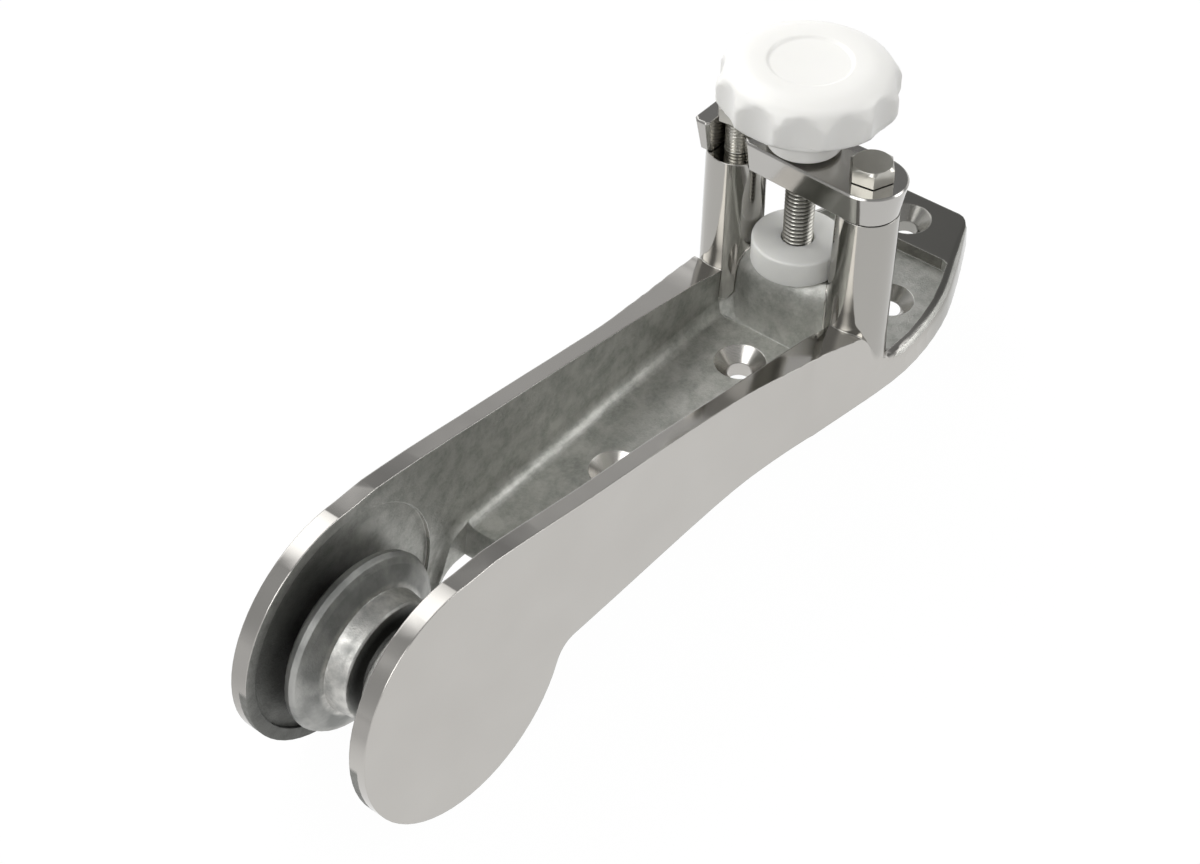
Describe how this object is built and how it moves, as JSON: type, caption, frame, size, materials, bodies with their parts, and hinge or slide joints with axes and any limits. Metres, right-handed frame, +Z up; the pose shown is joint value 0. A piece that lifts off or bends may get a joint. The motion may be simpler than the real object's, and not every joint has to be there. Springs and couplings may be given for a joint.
{
  "type": "bow roller",
  "caption": "Cast metal bow roller: an open channel with lobed cheeks around a grooved wheel, and a screw clamp under a swinging bridge that holds the chain.",
  "frame": {"origin": "on the flat underside of the base, midway between the two clamp posts", "axes": "+X along the channel to the bow and the roller, +Y to port, +Z up, away from the deck"},
  "size_m": [0.3188, 0.0782, 0.1408],
  "materials": {
    "polished_casting": "polished stainless casting, matt as cast inside the channel",
    "cast_roller": "dull as cast",
    "bearing_plastic": "plain",
    "pin_steel": "turned",
    "bridge_metal": "polished",
    "bolt_steel": "plain bolt steel",
    "knob_plastic": "white, satin gloss",
    "insert_brass": "turned",
    "pad_plastic": "translucent white",
    "spring_steel": "dark spring steel"
  },
  "bodies": {
    "frame": {"frame_casting": "polished_casting", "roller_axle": "pin_steel", "thrust_washer_port": "bearing_plastic", "thrust_washer_starboard": "bearing_plastic", "pivot_bolt": "bolt_steel"},
    "roller": {"roller_sheave": "cast_roller", "roller_bush": "bearing_plastic"},
    "bridge": {"clamp_bridge": "bridge_metal"},
    "pad": {"pressure_pad": "pad_plastic", "pad_snap_ring": "spring_steel"},
    "screw": {"clamp_screw": "bolt_steel", "knob": "knob_plastic", "knob_insert": "insert_brass"},
    "latch": {"latch_bolt": "bolt_steel"}
  },
  "joints": [
    {"name": "roller_spin", "type": "hinge", "parent": "frame", "child": "roller", "pos_m": [0.194, 0, 0.0061], "axis": [0, 1, 0], "continuous": true},
    {"name": "bridge_swing", "type": "hinge", "parent": "frame", "child": "bridge", "pos_m": [0, 0.0254, 0.0683], "axis": [0, 0, 1], "range_deg": [-120, 0]},
    {"name": "clamp_travel", "type": "slide", "parent": "bridge", "child": "pad", "axis": [0, 0, 1], "range_m": [0, 0.0235]},
    {"name": "spindle_turn", "type": "hinge", "parent": "pad", "child": "screw", "pos_m": [0, 0, 0.0379], "axis": [0, 0, 1], "range_deg": [0, 5640.5]},
    {"name": "latch_lift", "type": "slide", "parent": "frame", "child": "latch", "axis": [0, 0, 1], "range_m": [0, 0.004]}
  ],
  "couplings": [
    {"joint": "spindle_turn", "follows": "clamp_travel", "rad_per_m": 4188.8}
  ]
}
